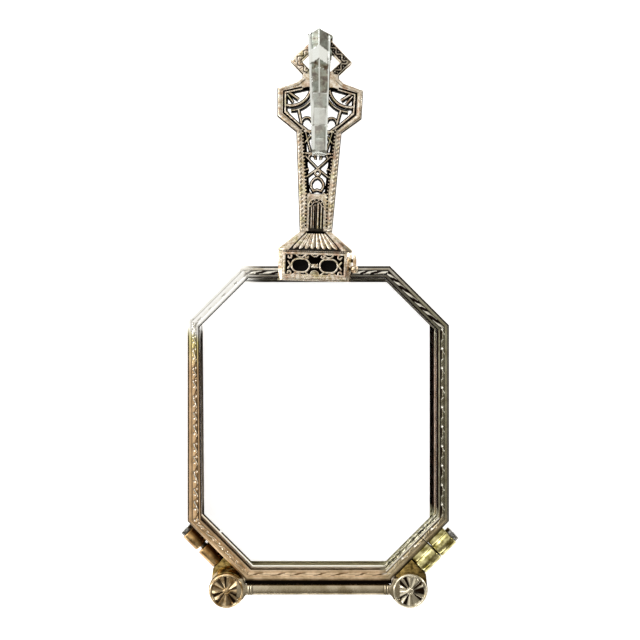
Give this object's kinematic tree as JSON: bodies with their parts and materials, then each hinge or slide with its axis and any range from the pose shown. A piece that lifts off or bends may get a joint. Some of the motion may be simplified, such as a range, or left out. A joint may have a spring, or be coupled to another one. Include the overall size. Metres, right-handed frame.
{
  "type": "folding lorgnette",
  "caption": "Folding lorgnette with octagonal spring-open lenses on a bridge bar, a pierced engraved handle, a catch block and a long bail.",
  "frame": {"origin": "middle of the folded outline, on the surface that it lies on face up", "axes": "+X to the right seen from the front, +Y towards the handle's end, +Z out of the front"},
  "size_m": [0.0354, 0.0724, 0.0062],
  "materials": {
    "white_gold": "polished and engraved",
    "yellow_gold": "polished",
    "steel": "turned",
    "lens_glass": "polished"
  },
  "bodies": {
    "handle_and_front_lens": {"handle_front": "white_gold", "handle_back": "white_gold", "shoulder_cap": "white_gold", "block_case": "white_gold", "block_front_panel": "white_gold", "block_back_plate": "white_gold", "lever_pin": "steel", "catch_spring": "steel", "front_rim": "white_gold", "front_lens": "lens_glass", "front_barrel_upper": "yellow_gold", "front_barrel_lower": "yellow_gold", "front_closing_screw": "steel", "front_hinge_drum": "yellow_gold", "front_hinge_spring": "steel"},
    "catch_lever": {"release_lever": "yellow_gold"},
    "bail": {"bail": "white_gold"},
    "bridge": {"bridge_bar": "yellow_gold", "front_pivot_pin": "steel", "front_pivot_washer": "steel", "rear_pivot_pin": "steel", "rear_pivot_washer": "steel"},
    "rear_lens_frame": {"rear_rim": "yellow_gold", "rear_lens": "lens_glass", "rear_barrel_upper": "yellow_gold", "rear_barrel_lower": "yellow_gold", "rear_closing_screw": "steel", "rear_hinge_drum": "yellow_gold", "rear_hinge_spring": "steel", "rear_catch_tab": "yellow_gold"}
  },
  "joints": [
    {"name": "bridge_swing", "type": "hinge", "parent": "handle_and_front_lens", "child": "bridge", "pos_m": [0.01144, -0.03395, 0.00475], "axis": [0, 0, 1], "range_deg": [0, 90]},
    {"name": "rear_lens_swing", "type": "hinge", "parent": "bridge", "child": "rear_lens_frame", "pos_m": [-0.01144, -0.03395, 0.00475], "axis": [0, 0, 1], "range_deg": [0, 90]},
    {"name": "catch_press", "type": "hinge", "parent": "handle_and_front_lens", "child": "catch_lever", "pos_m": [0.00078, 0.00733, 0.00331], "axis": [0, 0, -1], "range_deg": [0, 5.5], "stiffness_Nm_per_rad": 0.005, "springref_deg": -5.73},
    {"name": "bail_swing", "type": "hinge", "parent": "handle_and_front_lens", "child": "bail", "pos_m": [0.00043, 0.03427, 0.0039], "axis": [-0.9995, 0.0314, 0], "range_deg": [0, 180]}
  ]
}
